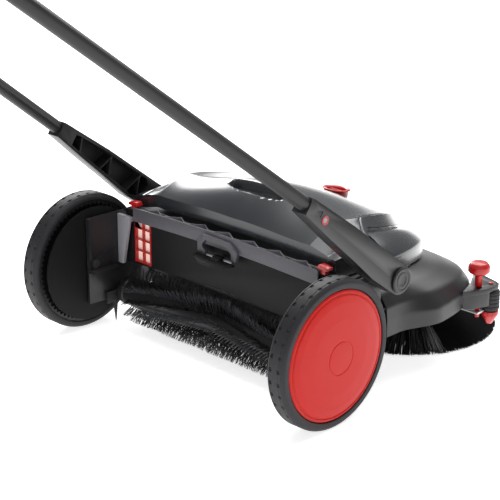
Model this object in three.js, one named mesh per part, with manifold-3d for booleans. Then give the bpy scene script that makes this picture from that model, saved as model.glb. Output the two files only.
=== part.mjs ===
// Manual push sweeper: a wheeled housing with a roller brush between two large wheels, one side brush
// at the front right corner, an open dust hopper bay at the back and a U handle on two side arms.
// Millimetres. +X is the machine's right, +Y is forward, +Z is up. While the parts are made, x = 0 is
// the middle plane, y = 0 is below the wheel axle and z = 0 is the floor. The finished group is then
// moved along y so that the origin lies below the middle of the whole machine.
import * as THREE from 'three';
import { mergeVertices } from 'three/addons/utils/BufferGeometryUtils.js';
import Module from 'manifold-3d';

const wasm = await Module();
wasm.setup();

// ---------------------------------------------------------------- driving dimensions
const GAP = 0.3;                  // clear space between pieces that touch
const SIDES = 28;                 // flats on a large round
const WHEEL_RADIUS = 120;
const WHEEL_OUTER_X = 304;        // outer face of the tyre
const TYRE_WIDTH = 35;
const HUB_RADIUS = 104;           // red disc
const GEAR_MODULE = 3;
const RING_TEETH = 68;
const PINION_TEETH = 8;
const ROLLER_RADIUS = 51.5;       // over the bristles
const ROLLER_HALF = 213;          // half the bristle length
const FRAME_X = 250;              // inner face of a side frame
const FRAME_THICK = 5;
const SHELL = 3;                  // wall of the moulded covers
const PIVOT = { y: 160, z: 195 }; // handle pivot
const HANDLE_RISE = THREE.MathUtils.degToRad(38.3);
const HANDLE_LENGTH = 1225;       // from the pivot to the grip's axis
const TUBE_RADIUS = 11.2;
const TUBE_WALL = 1.5;
const SIDE_BRUSH = { x: 107, y: 404, radius: 163 };
const KNOB = { x: 284, y: 376 };
const GUIDE_ROLLER = { x: 291, y: 402, radius: 16 };

// ---------------------------------------------------------------- derived values
const RING_PITCH_RADIUS = GEAR_MODULE * RING_TEETH / 2;
const PINION_PITCH_RADIUS = GEAR_MODULE * PINION_TEETH / 2;
const MESH_DISTANCE = RING_PITCH_RADIUS - PINION_PITCH_RADIUS;
const TOOTH_ANGLE = 2 * Math.PI / RING_TEETH;
const ROLLER_BEARING_ANGLE = -8.5 * TOOTH_ANGLE;
const BELT_INPUT_ANGLE = 1.5 * TOOTH_ANGLE;
const ROLLER_AXIS = polarFromAxle(ROLLER_BEARING_ANGLE);
const BELT_INPUT_AXIS = polarFromAxle(BELT_INPUT_ANGLE);
const BELT_OUTPUT_AXIS = { y: SIDE_BRUSH.y, z: 100 };
const FRAME_OUTER_X = FRAME_X + FRAME_THICK;
const TYRE_INNER_X = WHEEL_OUTER_X - TYRE_WIDTH;
const TYRE_SEAT_RADIUS = 110.8;   // where the tyre sits on the rim
const GEAR_SEAT_RADIUS = 108.2;   // where the ring gear sits in the rim

function polarFromAxle(angle) {
  return { y: MESH_DISTANCE * Math.cos(angle), z: WHEEL_RADIUS + MESH_DISTANCE * Math.sin(angle) };
}

// ---------------------------------------------------------------- finishes
const finish = (color, roughness, metalness = 0) => ({ color, roughness, metalness });
const HOUSING = finish(0x2b2b2f, 0.55);
const GLOSS = finish(0x34363a, 0.25);
const RED = finish(0xc22a2a, 0.4);
const TYRE = finish(0x2c2d31, 0.8);
const BRISTLE = finish(0x0c0c0e, 0.7);
const STEEL = finish(0x9a9da1, 0.35, 0.9);
const DARK_METAL = finish(0x29292c, 0.45, 0.3);
const RUBBER = finish(0x17171a, 0.85);
const GREY = finish(0x727278, 0.5);
const FLEECE = finish(0xf0c8bc, 0.95);

// ---------------------------------------------------------------- solid helpers
// A closed geometry with only positions, its shared corners merged and its faces pointing outwards.
function closed(geometry) {
  const bare = geometry.clone();
  bare.deleteAttribute('normal');
  bare.deleteAttribute('uv');
  bare.clearGroups();
  const merged = mergeVertices(bare, 1e-4);
  const p = merged.attributes.position;
  const index = merged.index.array;
  const kept = [];
  let volume = 0;
  const a = new THREE.Vector3();
  const b = new THREE.Vector3();
  const c = new THREE.Vector3();
  for (let i = 0; i < index.length; i += 3) {
    const [ia, ib, ic] = [index[i], index[i + 1], index[i + 2]];
    if (ia === ib || ib === ic || ia === ic) continue;
    kept.push(ia, ib, ic);
    a.fromBufferAttribute(p, ia);
    b.fromBufferAttribute(p, ib);
    c.fromBufferAttribute(p, ic);
    volume += a.dot(b.cross(c));
  }
  if (volume < 0) kept.reverse();
  merged.setIndex(kept);
  return merged;
}

function toManifold(geometry) {
  const g = closed(geometry);
  const vertProperties = new Float32Array(g.attributes.position.array);
  const triVerts = new Uint32Array(g.index.array);
  return new wasm.Manifold(new wasm.Mesh({ numProp: 3, vertProperties, triVerts }));
}

function fromManifold(solid) {
  const mesh = solid.getMesh();
  const geometry = new THREE.BufferGeometry();
  geometry.setAttribute('position', new THREE.BufferAttribute(new Float32Array(mesh.vertProperties), 3));
  geometry.setIndex([...mesh.triVerts]);
  return geometry;
}

const join = (first, ...rest) => fromManifold(rest.reduce((s, g) => s.add(toManifold(g)), toManifold(first)));
const cut = (first, ...rest) => fromManifold(rest.reduce((s, g) => s.subtract(toManifold(g)), toManifold(first)));
const common = (first, second) => fromManifold(toManifold(first).intersect(toManifold(second)));

function mirrorX(geometry) {
  return closed(geometry.clone().scale(-1, 1, 1));
}

function outline(points, holes = []) {
  const shape = new THREE.Shape(points.map(([x, y]) => new THREE.Vector2(x, y)));
  shape.holes = holes.map((hole) => new THREE.Path(hole.map(([x, y]) => new THREE.Vector2(x, y))));
  return shape;
}

function circle(cx, cy, radius, sides, start = 0) {
  const step = 2 * Math.PI / sides;
  return Array.from({ length: sides }, (_, i) => [
    cx + radius * Math.cos(start + i * step), cy + radius * Math.sin(start + i * step)]);
}

// Plates: an outline in one plane, given a thickness between two values of the third axis.
function plateYZ(points, x0, x1, holes = []) {
  const flat = new THREE.ExtrudeGeometry(outline(points, holes), { depth: x1 - x0, bevelEnabled: false });
  const turn = new THREE.Matrix4().makeBasis(
    new THREE.Vector3(0, 1, 0), new THREE.Vector3(0, 0, 1), new THREE.Vector3(1, 0, 0));
  return flat.applyMatrix4(turn).translate(x0, 0, 0);
}

function plateXZ(points, y0, y1, holes = []) {
  const flat = new THREE.ExtrudeGeometry(outline(points, holes), { depth: y1 - y0, bevelEnabled: false });
  return flat.rotateX(Math.PI / 2).translate(0, y1, 0);
}

function plateXY(points, z0, z1, holes = []) {
  return new THREE.ExtrudeGeometry(outline(points, holes), { depth: z1 - z0, bevelEnabled: false })
    .translate(0, 0, z0);
}

function box(x0, x1, y0, y1, z0, z1) {
  return new THREE.BoxGeometry(x1 - x0, y1 - y0, z1 - z0)
    .translate((x0 + x1) / 2, (y0 + y1) / 2, (z0 + z1) / 2);
}

// Turned pieces: profile points are [radius, distance along the axis].
function turned(profile, sides) {
  return closed(new THREE.LatheGeometry(profile.map(([r, d]) => new THREE.Vector2(r, d)), sides));
}

const turnedX = (profile, sides, y, z) => turned(profile, sides).rotateZ(-Math.PI / 2).translate(0, y, z);
const turnedZ = (profile, sides, x, y) => turned(profile, sides).rotateX(Math.PI / 2).translate(x, y, 0);

const ringProfile = (rIn, rOut, d0, d1) => [[rIn, d0], [rOut, d0], [rOut, d1], [rIn, d1], [rIn, d0]];
const rodProfile = (r, d0, d1) => [[0, d0], [r, d0], [r, d1], [0, d1]];

// A curved plate: the six sides of a divided box, whose corners are carried to map(u, v, side).
// u and v run from 0 to 1 over the plate, and side is 0 on the inner skin and 1 on the outer one.
function curvedPlate(nu, nv, map) {
  const share = (value, steps) => Math.round((value + 0.5) * steps) / steps;
  const geometry = new THREE.BoxGeometry(1, 1, 1, nu, nv, 1);
  const p = geometry.attributes.position;
  for (let i = 0; i < p.count; i += 1) {
    const point = map(share(p.getX(i), nu), share(p.getY(i), nv), share(p.getZ(i), 1));
    p.setXYZ(i, point.x, point.y, point.z);
  }
  return closed(geometry);
}

// The same for a grid of outer points: the inner skin lies one wall inside the outer skin. The way
// inwards at a grid point is square to the lines that join its neighbours.
function shellPlate(nu, nv, outer, wall) {
  const inward = (u, v) => {
    const du = outer(Math.min(u + 1 / nu, 1), v).sub(outer(Math.max(u - 1 / nu, 0), v));
    const dv = outer(u, Math.min(v + 1 / nv, 1)).sub(outer(u, Math.max(v - 1 / nv, 0)));
    return du.cross(dv).normalize().multiplyScalar(-wall);
  };
  return curvedPlate(nu, nv, (u, v, side) => {
    const point = outer(u, v);
    return side > 0.5 ? point : point.add(inward(u, v));
  });
}

const lerp = THREE.MathUtils.lerp;
const smooth = THREE.MathUtils.smoothstep;
const model = new THREE.Group();

function add(name, geometry, look, parent = model) {
  const mesh = new THREE.Mesh(closed(geometry), new THREE.MeshStandardMaterial(look));
  mesh.name = name;
  parent.add(mesh);
  return mesh;
}

// ---------------------------------------------------------------- gears
// Straight teeth as four-cornered steps on a circle.
function toothOutline(teeth, rRoot, rTip, rootWidth, tipWidth, start) {
  const points = [];
  for (let i = 0; i < teeth; i += 1) {
    const a = start + i * 2 * Math.PI / teeth;
    const root = rootWidth / 2 / rRoot;
    const tip = tipWidth / 2 / rTip;
    for (const [r, d] of [[rRoot, -root], [rTip, -tip], [rTip, tip], [rRoot, root]]) {
      points.push([r * Math.cos(a + d), r * Math.sin(a + d)]);
    }
  }
  return points;
}

const shifted = (points, dy, dz) => points.map(([y, z]) => [y + dy, z + dz]);

function ringGear(x0, x1) {
  const teeth = [];
  for (let i = 0; i < RING_TEETH; i += 1) {
    for (const [r, step] of [[RING_PITCH_RADIUS - 2.4, 0], [RING_PITCH_RADIUS + 3, 0.5]]) {
      const a = (i + step) * TOOTH_ANGLE;
      teeth.push([r * Math.cos(a), WHEEL_RADIUS + r * Math.sin(a)]);
    }
  }
  return plateYZ(circle(0, WHEEL_RADIUS, GEAR_SEAT_RADIUS - GAP, SIDES), x0, x1, [teeth]);
}

function pinionOutline(axis, angle) {
  const teeth = toothOutline(PINION_TEETH, PINION_PITCH_RADIUS - 3.3, PINION_PITCH_RADIUS + 1.8, 5, 1.2, angle);
  return shifted(teeth, axis.y, axis.z);
}

// ---------------------------------------------------------------- wheels
const TYRE_PROFILE = [
  [TYRE_SEAT_RADIUS, TYRE_INNER_X], [114, TYRE_INNER_X], [WHEEL_RADIUS, TYRE_INNER_X + 5],
  [WHEEL_RADIUS, WHEEL_OUTER_X - 5], [114, WHEEL_OUTER_X], [HUB_RADIUS + 1, WHEEL_OUTER_X],
  [HUB_RADIUS + 1, WHEEL_OUTER_X - 3.7], [TYRE_SEAT_RADIUS, WHEEL_OUTER_X - 3.7],
  [TYRE_SEAT_RADIUS, TYRE_INNER_X]];

const RIM_PROFILE = [
  [12.3, TYRE_INNER_X], [18, TYRE_INNER_X], [18, 288], [GEAR_SEAT_RADIUS, 288],
  [GEAR_SEAT_RADIUS, TYRE_INNER_X + 1], [TYRE_SEAT_RADIUS - GAP, TYRE_INNER_X + 1],
  [TYRE_SEAT_RADIUS - GAP, 300], [HUB_RADIUS - 2, 300], [HUB_RADIUS - 2, 292], [12.3, 292],
  [12.3, TYRE_INNER_X]];

const HUB_CAP_PROFILE = [
  [0, 294], [HUB_RADIUS - 3, 294], [HUB_RADIUS - 3, 300.4], [HUB_RADIUS + 0.5, 300.4],
  [HUB_RADIUS + 0.5, 303], [98, 304.5], [85, 307.5], [60, 310.5], [27, 312], [0, 312.4]];

function wheel(side) {
  const word = side > 0 ? 'right' : 'left';
  const place = (geometry) => (side > 0 ? geometry : mirrorX(geometry));
  const round = (profile, sides) => place(turnedX(profile, sides, 0, WHEEL_RADIUS));
  add(`tyre_${word}`, round(TYRE_PROFILE, SIDES), TYRE);
  add(`rim_${word}`, round(RIM_PROFILE, SIDES), DARK_METAL);
  add(`hub_cap_${word}`, round(HUB_CAP_PROFILE, SIDES), RED);
  add(`ring_gear_${word}`, place(ringGear(271, 281)), HOUSING);
  add(`wheel_bush_${word}`, round(ringProfile(8.3, 12, TYRE_INNER_X, 291.5), 16), GREY);
  add(`stub_axle_${word}`, round([
    [0, 250.3], [8, 250.3], [8, 255.3], [12, 255.3], [12, 260.2], [8, 260.2], [8, 291.6], [0, 291.6]], 16), STEEL);
}

wheel(-1);
wheel(1);

// ---------------------------------------------------------------- side frames
// Seen from the side: a tall wall beside the hopper and the roller, with a raised ear at its front that
// carries the handle pivot. The left and right frames are alike.
const SIDE_FRAME_OUTLINE = [
  [-17, 50], [18, 48], [46, 48], [50, 40], [78, 40], [84, 52], [150, 52], [158, 62], [158, 168],
  [172, 172], [184, 180], [184, 196], [174, 214], [146, 214], [136, 200], [-17, 206]];

function sideFrame(side) {
  const word = side > 0 ? 'right' : 'left';
  const holes = [
    circle(0, WHEEL_RADIUS, 8.3, 24),
    circle(ROLLER_AXIS.y, ROLLER_AXIS.z, 12.3, 24),
    circle(PIVOT.y, PIVOT.z, 8.3, 16)];
  if (side > 0) holes.push(circle(BELT_INPUT_AXIS.y, BELT_INPUT_AXIS.z, 8.3, 16));
  const wall = plateYZ(SIDE_FRAME_OUTLINE, FRAME_X, FRAME_OUTER_X, holes);
  const flange = box(232, FRAME_X + 1, 66, 136, 201, 205);
  const shelf = box(236, FRAME_X + 1, -17, 40, 107, 110);
  const rearEdge = box(244, FRAME_X + 1, -17, -13, 132, 205.5);
  const whole = join(wall, flange, shelf, rearEdge);
  add(`side_frame_${word}`, side > 0 ? whole : mirrorX(whole), HOUSING);
  const shield = plateYZ(shifted(circle(0, 0, 101, SIDES), 0, WHEEL_RADIUS), 257.5, 260.5, [
    circle(0, WHEEL_RADIUS, 12.6, 24),
    circle(ROLLER_AXIS.y, ROLLER_AXIS.z, 8.3, 16),
    circle(BELT_INPUT_AXIS.y, BELT_INPUT_AXIS.z, 8.3, 16)]);
  add(`gear_shield_${word}`, side > 0 ? shield : mirrorX(shield), HOUSING);
  const bearing = turnedX(ringProfile(5.3, 12, 246.5, 256.5), 16, ROLLER_AXIS.y, ROLLER_AXIS.z);
  add(`roller_bearing_${word}`, side > 0 ? bearing : mirrorX(bearing), GREY);
}

sideFrame(-1);
sideFrame(1);

// ---------------------------------------------------------------- roller brush
// The brush's strips run as a wide V: they twist away from the middle towards both ends.
const ROLLER_CORE = 24;

function bristleSleeve() {
  const strips = 6;
  const points = [];
  for (let i = 0; i < strips; i += 1) {
    const a = i * 2 * Math.PI / strips;
    for (const [r, half] of [[28, 0.2], [ROLLER_RADIUS, 0.09]]) points.push([r, a - half]);
    for (const [r, half] of [[ROLLER_RADIUS, 0.09], [28, 0.2]]) points.push([r, a + half]);
  }
  const ring = points.map(([r, a]) => [r * Math.cos(a), r * Math.sin(a)]);
  const inner = circle(0, 0, ROLLER_CORE + 0.9, 20);
  const flat = new THREE.ExtrudeGeometry(outline(ring, [inner]), {
    depth: 2 * ROLLER_HALF, steps: 8, bevelEnabled: false });
  const p = flat.attributes.position;
  for (let i = 0; i < p.count; i += 1) {
    const along = p.getZ(i) - ROLLER_HALF;
    const radius = Math.hypot(p.getX(i), p.getY(i));
    const twist = radius < ROLLER_CORE + 2 ? 0 : 1.1 * Math.abs(along) / ROLLER_HALF;
    const angle = Math.atan2(p.getY(i), p.getX(i)) + twist;
    p.setXYZ(i, along, ROLLER_AXIS.y + radius * Math.cos(angle), ROLLER_AXIS.z + radius * Math.sin(angle));
  }
  return flat;
}

function roller() {
  const half = [[0, 283], [5, 283], [5, 245.5], [25, 244], [25, 216], [ROLLER_CORE, 214]];
  const profile = [...half.map(([r, d]) => [r, -d]), ...half.reverse()];
  add('roller_core', turnedX(profile, 16, ROLLER_AXIS.y, ROLLER_AXIS.z), HOUSING);
  add('roller_bristles', bristleSleeve(), BRISTLE);
  const bore = circle(ROLLER_AXIS.y, ROLLER_AXIS.z, 5.3, 16);
  const pinion = plateYZ(pinionOutline(ROLLER_AXIS, ROLLER_BEARING_ANGLE), 271, 281, [bore]);
  add('drive_pinion_right', pinion, GREY);
  add('drive_pinion_left', mirrorX(pinion), GREY);
}

roller();

// ---------------------------------------------------------------- hopper bay at the back
const ARCH_TOP = (x) => 223 - 5 * (x / ROLLER_HALF) ** 2;
const ARCH_HEIGHT = 24;

function rearCrossbar() {
  const steps = 8;
  const xs = Array.from({ length: steps + 1 }, (_, i) => lerp(-ROLLER_HALF, ROLLER_HALF, i / steps));
  const top = xs.map((x) => [x, ARCH_TOP(x)]);
  const under = xs.slice().reverse().map((x) => [x, ARCH_TOP(x) - ARCH_HEIGHT]);
  const wall = plateXZ([...top, ...under], 54, 57);
  const hook = [
    [-48, 187], [-48, 203], [-36, 217], [24, 216], [44, 203], [40, 186], [30, 188], [30, 198],
    [18, 208], [-30, 208], [-37, 200], [-37, 194], [-30, 190], [-30, 180]];
  const bracket = plateXZ(hook, 48, 55);
  const ribs = [];
  const bays = 14;
  for (let i = 0; i < bays; i += 1) {
    const x0 = lerp(-200, 200, i / bays);
    const x1 = lerp(-200, 200, (i + 1) / bays);
    const [ya, yb] = i % 2 === 0 ? [56, 74] : [74, 56];
    const z = Math.min(ARCH_TOP(x0), ARCH_TOP(x1)) - 8;
    ribs.push(plateXY([[x0 - 1, ya], [x0 + 1.5, ya], [x1 + 1.5, yb], [x1 - 1, yb]], z, z + 7));
  }
  const rail = box(-205, 205, 73, 76, 209, 214);
  const tabs = [-30, 22].map((x) => box(x - 9, x + 9, 56, 75, 209, 215));
  return join(wall, bracket, rail, ...tabs, ...ribs);
}

function hopperStop() {
  return join(
    plateXZ([[-249.5, 200], [-218, 199], [-237.3, 110.5], [-249.5, 110.5]], 50, 56),
    box(-249, -220, 55, 61, 190, 198));
}

const WINDOW = { x0: -217, x1: -176, z0: 118, z1: 203 };

const windowBox = (y0, y1, inset) => box(
  WINDOW.x0 + inset, WINDOW.x1 - inset, y0, y1, WINDOW.z0 + inset, WINDOW.z1 - inset);

function bayWall() {
  const wall = plateXZ([
    [-240, 112], [-100, 118], [0, 122], [100, 118], [240, 112], [240, 209], [-240, 209]], 61.7, 64.7);
  return cut(wall, windowBox(60, 66, 0));
}

function filterFrame() {
  const rim = 3;
  const bar = 2;
  const width = (WINDOW.x1 - WINDOW.x0 - 2 * rim - bar) / 2;
  const height = (WINDOW.z1 - WINDOW.z0 - 2 * rim - 3 * bar) / 4;
  const cells = [];
  for (let column = 0; column < 2; column += 1) {
    for (let row = 0; row < 4; row += 1) {
      const x = WINDOW.x0 + rim + column * (width + bar);
      const z = WINDOW.z0 + rim + row * (height + bar);
      cells.push(box(x, x + width, 59, 67, z, z + height));
    }
  }
  return cut(windowBox(60, 66, GAP), ...cells);
}

add('rear_crossbar', rearCrossbar(), GREY);
add('hopper_stop_left', hopperStop(), GREY);
add('hopper_stop_right', mirrorX(hopperStop()), GREY);
add('bay_wall', bayWall(), HOUSING);
add('cover_deck', box(-242, 242, 65.1, 180, 205.4, 208.4), HOUSING);
add('filter_frame', filterFrame(), RED);
add('filter_fleece', windowBox(66.3, 71, 1), FLEECE);

// Lever that lifts the hopper's hook: a half-round paddle below the bracket, on a pin along x.
const LEVER_PIN = { y: 51.5, z: 183 };

function hopperLever() {
  const paddle = [[-48, 47], [-48, 40], [-38, 27], [-16, 18], [8, 18], [30, 27], [40, 40], [40, 47]];
  const plate = plateXY(paddle, 180, 183);
  const cheek = plateYZ([[36, 180.5], [46, 179], [56, 179], [55, 187], [49, 188], [38, 184]], -9, 9, [
    circle(LEVER_PIN.y, LEVER_PIN.z, 2.3, 12)]);
  return join(plate, cheek);
}

add('hopper_lever', hopperLever(), HOUSING);
add('lever_pin', turnedX(rodProfile(2, -29.5, 29.5), 12, LEVER_PIN.y, LEVER_PIN.z), STEEL);

// Red slides that lock the cover at both ends of the crossbar.
function coverLatch() {
  const top = plateXZ([[206, 219.5], [229, 219.5], [229, 224], [222, 225.5], [210, 226.5]], 58, 72);
  return join(top, box(214, 224, 60, 70, 212, 220));
}

add('cover_latch_right', coverLatch(), RED);
add('cover_latch_left', mirrorX(coverLatch()), RED);

// ---------------------------------------------------------------- roller tunnel and rubber lips
function rollerTunnel() {
  const arc = (radius, from, to, steps) => Array.from({ length: steps + 1 }, (_, i) => {
    const a = THREE.MathUtils.degToRad(lerp(from, to, i / steps));
    return [ROLLER_AXIS.y + radius * Math.cos(a), ROLLER_AXIS.z + radius * Math.sin(a)];
  });
  return plateYZ([...arc(55, 82, -22, 8), ...arc(58, -22, 82, 8)], -240, 240);
}

add('roller_tunnel', rollerTunnel(), HOUSING);
add('front_lip', box(-238, 238, 122, 124.5, 6, 60), RUBBER);

function sideLip() {
  return plateYZ([[20, 62], [20, 40], [34, 40], [39, 4], [44, 40], [47, 44], [47, 62]], 246.7, 249.7);
}

add('side_lip_right', sideLip(), RUBBER);
add('side_lip_left', mirrorX(sideLip()), RUBBER);

// ---------------------------------------------------------------- top cover and front covers
// Height of the cover's shoulder line, which runs level to the axle's front and then falls forwards.
const SHOULDER = { x: 175, y: 150, reach: 268 };

function shoulderHeight(y) {
  const d = Math.max(y - SHOULDER.y, 0);
  return 267 - 0.11 * d - 0.00074 * d * d;
}

function shoulderHalfWidth(y) {
  const d = Math.min(Math.max(y - SHOULDER.y, 0) / SHOULDER.reach, 1);
  return SHOULDER.x * Math.sqrt(Math.max(1 - d * d, 0));
}

// The cover's rim stands outside the shoulder: wide beside the wheels, narrow round the nose.
function rimHalfWidth(y) {
  return shoulderHalfWidth(y) + 15 + 38 * (1 - smooth(y, 160, 205));
}

function coverHeight(x, y) {
  const half = shoulderHalfWidth(y);
  const rise = Math.min(Math.max((SHOULDER.y - y) / 72, 0), 1);
  const back = 30 * rise ** 1.7;
  const across = Math.min(Math.abs(x) / Math.max(half, 1), 1);
  const ahead = Math.max(y - SHOULDER.y, 0) / SHOULDER.reach;
  const crown = 20 * Math.max(1 - across ** 2 * (1 - ahead ** 2) - ahead ** 2, 0) ** 2;
  const beside = Math.max(Math.abs(x) - half, 0);
  const slope = lerp(0.78, 1.1, smooth(y, 180, 240));
  return shoulderHeight(y) + crown * (1 - 0.5 * rise) - back * (1 - 0.25 * across) - beside * slope * (1 - 0.7 * rise);
}

const COVER_BACK = 78;
const COVER_NOSE = SHOULDER.y + SHOULDER.reach * 0.965;

function topCover() {
  const rows = 11;
  const lip = 1 / rows;
  return curvedPlate(12, rows, (u, v, side) => {
    const t = Math.max((v - lip) / (1 - lip), 0);
    const y = lerp(COVER_BACK, COVER_NOSE, Math.sin(t * Math.PI / 2) * 0.55 + t * 0.45);
    const half = rimHalfWidth(y) - (v < lip / 2 ? 3 : 0);
    const x = lerp(-half, half, u);
    const drop = v < lip / 2 ? 22 : 0;
    const inner = (1 - side) * SHELL;
    const y1 = y + (v < lip / 2 ? inner - 2 : 0) + (v < 1.5 * lip && v > lip / 2 ? inner * 0.6 : 0);
    return new THREE.Vector3(x, y1, coverHeight(x, y) - drop - (v < lip / 2 ? 0 : inner));
  });
}

// A point on a rounded plan curve that runs from the right side round the nose to the left side.
// The curve is an ellipse at power 2 and grows squarer with a higher power.
function planPoint(halfWidth, reach, power, angle) {
  const c = Math.cos(angle);
  const x = Math.sign(c) * halfWidth * Math.abs(c) ** (2 / power);
  return new THREE.Vector3(x, SHOULDER.y + reach * Math.sin(angle) ** (2 / power), 0);
}

const NOSE_START = THREE.MathUtils.degToRad(9);
const RIM_DROP = 26;              // height of the step below the nose cover's rim

function noseCover() {
  return shellPlate(20, 5, (u, v) => {
    const angle = lerp(NOSE_START, Math.PI - NOSE_START, u);
    const s = Math.sin(angle);
    const inner = planPoint(SHOULDER.x + 6, SHOULDER.reach + 4, 2, angle);
    const rim = planPoint(231, 296, 2.2, angle);
    const rimZ = 202 - 52 * s ** 2;
    const innerZ = shoulderHeight(inner.y) - 22 - 6 * s;
    if (v > 0.9) {
      rim.z = rimZ - RIM_DROP;
      return rim;
    }
    const t = v / 0.8;
    const point = inner.clone().lerp(rim, t);
    point.z = lerp(innerZ, rimZ, t) + 7 * Math.sin(t * Math.PI);
    return point;
  }, SHELL);
}

// How far the right skirt stands out towards the corner that carries the guide roller.
const cornerFlare = (x, y) => 26 * smooth(y, 190, 275) * smooth(x, 120, 240);

const HOUSING_BACK = 162;         // where the housing's sides begin

function frontHousing() {
  const rows = 4;
  return shellPlate(24, rows, (u, v) => {
    const row = Math.round(v * rows);
    const shapes = [
      { half: 227, reach: 290, power: 2.3, flare: 0 },
      { half: 249, reach: 300, power: 3, flare: 0 },
      { half: 262, reach: 310, power: 3.5, flare: 0.4 },
      { half: 264, reach: 312, power: 3.5, flare: 1 },
      { half: 264, reach: 312, power: 3.5, flare: 1 }];
    const { half, reach, power, flare } = shapes[row];
    const start = Math.asin(((HOUSING_BACK - SHOULDER.y) / reach) ** (power / 2));
    const angle = lerp(start, Math.PI - start, u);
    const s = Math.sin(angle);
    const z = [170 - 48 * s ** 2, 156 - 36 * s ** 2, 138 - 24 * s ** 2, 116 - 10 * s ** 2, 88][row];
    const point = planPoint(half, reach, power, angle);
    point.x += flare * cornerFlare(point.x, point.y);
    point.z = z;
    return point;
  }, SHELL);
}

const DIAL = { y: 337, tilt: 0.16, raise: 6 };
const dialHeight = coverHeight(0, DIAL.y) + DIAL.raise;
const DIAL_HOLE = 22;

// The dial and its bezel are made round a vertical axis, then tilted and set into the cover.
function onCover(geometry) {
  return geometry.rotateX(-DIAL.tilt).translate(0, DIAL.y, dialHeight);
}

const dialBore = () => onCover(turned(rodProfile(DIAL_HOLE, -20, 20), 24).rotateX(Math.PI / 2));

add('top_cover', cut(topCover(), dialBore()), GLOSS);
add('nose_cover', noseCover(), HOUSING);
add('front_housing', frontHousing(), HOUSING);
add('dial_bezel', onCover(turned([
  [17.3, -16], [21.7, -16], [21.7, 2.6], [25, 2.6], [23, 5], [17.3, 3], [17.3, -16]], 20).rotateX(Math.PI / 2)), RED);
const dialFace = join(
  turned(rodProfile(17, -9, -2), 20).rotateX(Math.PI / 2),
  box(-14, 14, -3, 3, -3, 2));
add('cover_lock_dial', onCover(dialFace), RED);

// ---------------------------------------------------------------- corner: bracket, roller and knob
const BRACKET_Z = { low: 112, high: 120 };
const SCREW_HOLE = 4.2;

function cornerBracket() {
  const rounded = [
    [279.5, 340], [292, 354], [302, 378], [304, 402], [300, 412], [290, 417], [262, 424], [240, 424],
    [247, 410], [257.5, 392], [268.5, 372]];
  const top = plateXY(rounded, BRACKET_Z.low, BRACKET_Z.high, [
    circle(KNOB.x, KNOB.y, SCREW_HOLE, 12), circle(GUIDE_ROLLER.x, GUIDE_ROLLER.y, SCREW_HOLE, 12)]);
  const skirt = plateXY([
    [280, 341.5], [291.7, 354.4], [301.4, 378], [302.2, 384], [299.2, 384.5], [298, 379], [288.8, 356],
    [279.6, 345.5]], 88, BRACKET_Z.low + 1);
  return join(top, skirt);
}

add('corner_bracket', cornerBracket(), HOUSING);
add('guide_roller', turnedZ([
  [5.3, 74], [13, 74], [GUIDE_ROLLER.radius, 77], [GUIDE_ROLLER.radius, 107], [13, 110.5],
  [5.3, 110.5], [5.3, 74]], 20, GUIDE_ROLLER.x, GUIDE_ROLLER.y), RUBBER);
add('guide_roller_bolt', turnedZ([
  [0, 47], [5, 49], [15, 66], [15, 73], [5, 73], [5, 111.5], [3.9, 111.5], [3.9, 122], [0, 122]],
  12, GUIDE_ROLLER.x, GUIDE_ROLLER.y), RED);
add('adjuster_knob', turnedZ([
  [0, 66], [3.9, 66], [3.9, 121], [6.3, 121], [6.3, 141], [12, 143], [18.5, 148], [18.5, 157],
  [14, 163], [0, 164]], 16, KNOB.x, KNOB.y), RED);

// ---------------------------------------------------------------- side brush and its drive
const PLATE_Z = { low: 74, high: 78 };

function liftPlate() {
  const { x, y } = SIDE_BRUSH;
  const arm = [
    [x - 26, y - 20], [x + 10, y - 34], [200, 364], [KNOB.x + 8, KNOB.y - 9], [KNOB.x + 8, KNOB.y + 8],
    [205, KNOB.y + 8], [x + 26, y + 20], [x, y + 28], [x - 20, y + 20]];
  return plateXY(arm, PLATE_Z.low, PLATE_Z.high, [circle(x, y, 7.4, 20), circle(KNOB.x, KNOB.y, SCREW_HOLE, 12)]);
}

add('lift_plate', liftPlate(), STEEL);
add('side_brush_disc', turnedZ([
  [0, 52], [38, 52], [60, 56], [60, 62], [24, 66], [24, 73.5], [7, 73.5], [7, 141], [0, 141]],
  16, SIDE_BRUSH.x, SIDE_BRUSH.y), RED);
add('side_brush_bristles', turnedZ([
  [60.4, 54], [SIDE_BRUSH.radius - 5, 0], [SIDE_BRUSH.radius, 0], [SIDE_BRUSH.radius - 22, 22], [60.4, 61], [60.4, 54]],
  SIDES, SIDE_BRUSH.x, SIDE_BRUSH.y), BRISTLE);

const CROWN_TEETH = 24;
const CROWN = { inner: 22, outer: 27, z: BELT_OUTPUT_AXIS.z + 10.3 };
const CROWN_PINION = { root: 5.4, tip: 9.4 };

function crownGear() {
  const { x, y } = SIDE_BRUSH;
  const disc = turnedZ([
    [7.4, CROWN.z], [CROWN.outer + 2, CROWN.z], [CROWN.outer + 2, CROWN.z + 4], [11, CROWN.z + 4],
    [11, 123.5], [7.4, 123.5], [7.4, CROWN.z]], 16, x, y);
  const teeth = Array.from({ length: CROWN_TEETH }, (_, i) => {
    const tooth = plateYZ([[-1.2, 0.5], [-0.5, -3.2], [0.5, -3.2], [1.2, 0.5]], CROWN.inner, CROWN.outer);
    return tooth.rotateZ((i + 0.5) * 2 * Math.PI / CROWN_TEETH).translate(x, y, CROWN.z);
  });
  return join(disc, ...teeth);
}

const PULLEY_X = 204.5;           // inner face of both belt pulleys

function pulley(y, z) {
  const groove = [[0, 0], [14, 0], [11.5, 3.5], [14, 7], [0, 7]];
  return turnedX(groove.map(([r, d]) => [r, PULLEY_X + d]), 16, y, z);
}

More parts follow.
